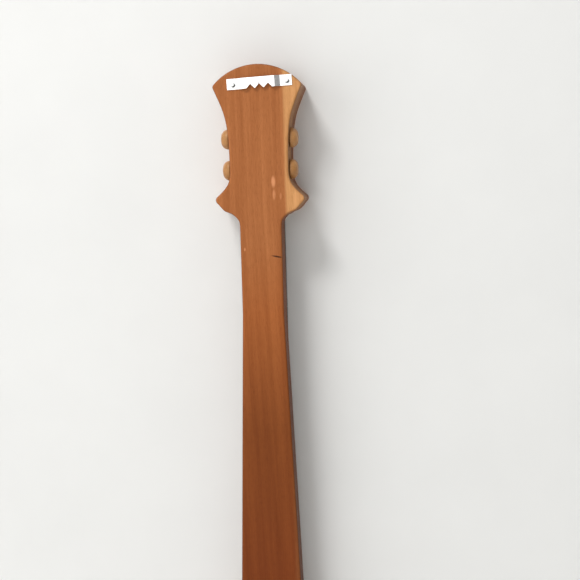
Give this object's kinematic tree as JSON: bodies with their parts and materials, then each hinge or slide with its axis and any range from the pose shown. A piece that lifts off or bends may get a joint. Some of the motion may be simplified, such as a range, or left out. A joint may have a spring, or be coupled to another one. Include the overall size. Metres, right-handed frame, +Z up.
{
  "type": "appalachian dulcimer",
  "caption": "Long-necked flat-backed dulcimer with pegs in a flared head, a teardrop sound box, a full-length fretboard and a sawtooth wall hanger.",
  "frame": {"origin": "middle notch of the sawtooth hanger at the plane of the flat back", "axes": "+Z up along the length towards the head, +Y out of the flat back towards the wall, -Y the face with the strings"},
  "size_m": [0.1528, 0.0403, 0.7665],
  "materials": {
    "neck_wood": "satin",
    "head_wood": "satin",
    "fretboard_wood": "satin",
    "soundboard_wood": "satin",
    "box_wood": "satin",
    "inner_wood": "raw",
    "peg_wood": "satin",
    "bone": "polished bone",
    "fret_wire": "polished",
    "string_steel": "plain wire",
    "string_bronze": "wound wire",
    "hanger_steel": "bright zinc plate",
    "pin_brass": "polished"
  },
  "bodies": {
    "instrument": {"neck_board": "neck_wood", "peghead_front": "head_wood", "nut": "bone", "fretboard": "fretboard_wood", "frets": "fret_wire", "bridge_saddle": "bone", "tail_saddle": "bone", "soundboard": "soundboard_wood", "back_plate": "box_wood", "tail_block": "inner_wood", "string_pins": "pin_brass", "wall_hanger": "hanger_steel", "hanger_nails": "hanger_steel", "rib_left": "box_wood", "rib_right": "box_wood", "lining_back_left": "inner_wood", "lining_front_left": "inner_wood", "lining_back_right": "inner_wood", "lining_front_right": "inner_wood", "soundboard_brace_1": "inner_wood", "back_brace_1": "inner_wood", "soundboard_brace_2": "inner_wood", "back_brace_2": "inner_wood", "soundboard_brace_3": "inner_wood", "back_brace_3": "inner_wood", "melody_string_outer": "string_steel", "melody_string_inner": "string_steel", "middle_string": "string_steel", "bass_string": "string_bronze"},
    "upper_left_peg": {"peg_upper_left": "peg_wood", "winding_upper_left": "string_steel"},
    "upper_right_peg": {"peg_upper_right": "peg_wood", "winding_upper_right": "string_steel"},
    "lower_left_peg": {"peg_lower_left": "peg_wood", "winding_lower_left": "string_steel"},
    "lower_right_peg": {"peg_lower_right": "peg_wood", "winding_lower_right": "string_bronze"}
  },
  "joints": [
    {"name": "upper_left_peg_turn", "type": "hinge", "parent": "instrument", "child": "upper_left_peg", "pos_m": [-0.01, -0.0105, -0.0372], "axis": [1, 0, 0], "continuous": true},
    {"name": "upper_right_peg_turn", "type": "hinge", "parent": "instrument", "child": "upper_right_peg", "pos_m": [0.014, -0.0105, -0.0372], "axis": [1, 0, 0], "continuous": true},
    {"name": "lower_left_peg_turn", "type": "hinge", "parent": "instrument", "child": "lower_left_peg", "pos_m": [-0.01, -0.0105, -0.0589], "axis": [1, 0, 0], "continuous": true},
    {"name": "lower_right_peg_turn", "type": "hinge", "parent": "instrument", "child": "lower_right_peg", "pos_m": [0.014, -0.0105, -0.0589], "axis": [1, 0, 0], "continuous": true}
  ]
}
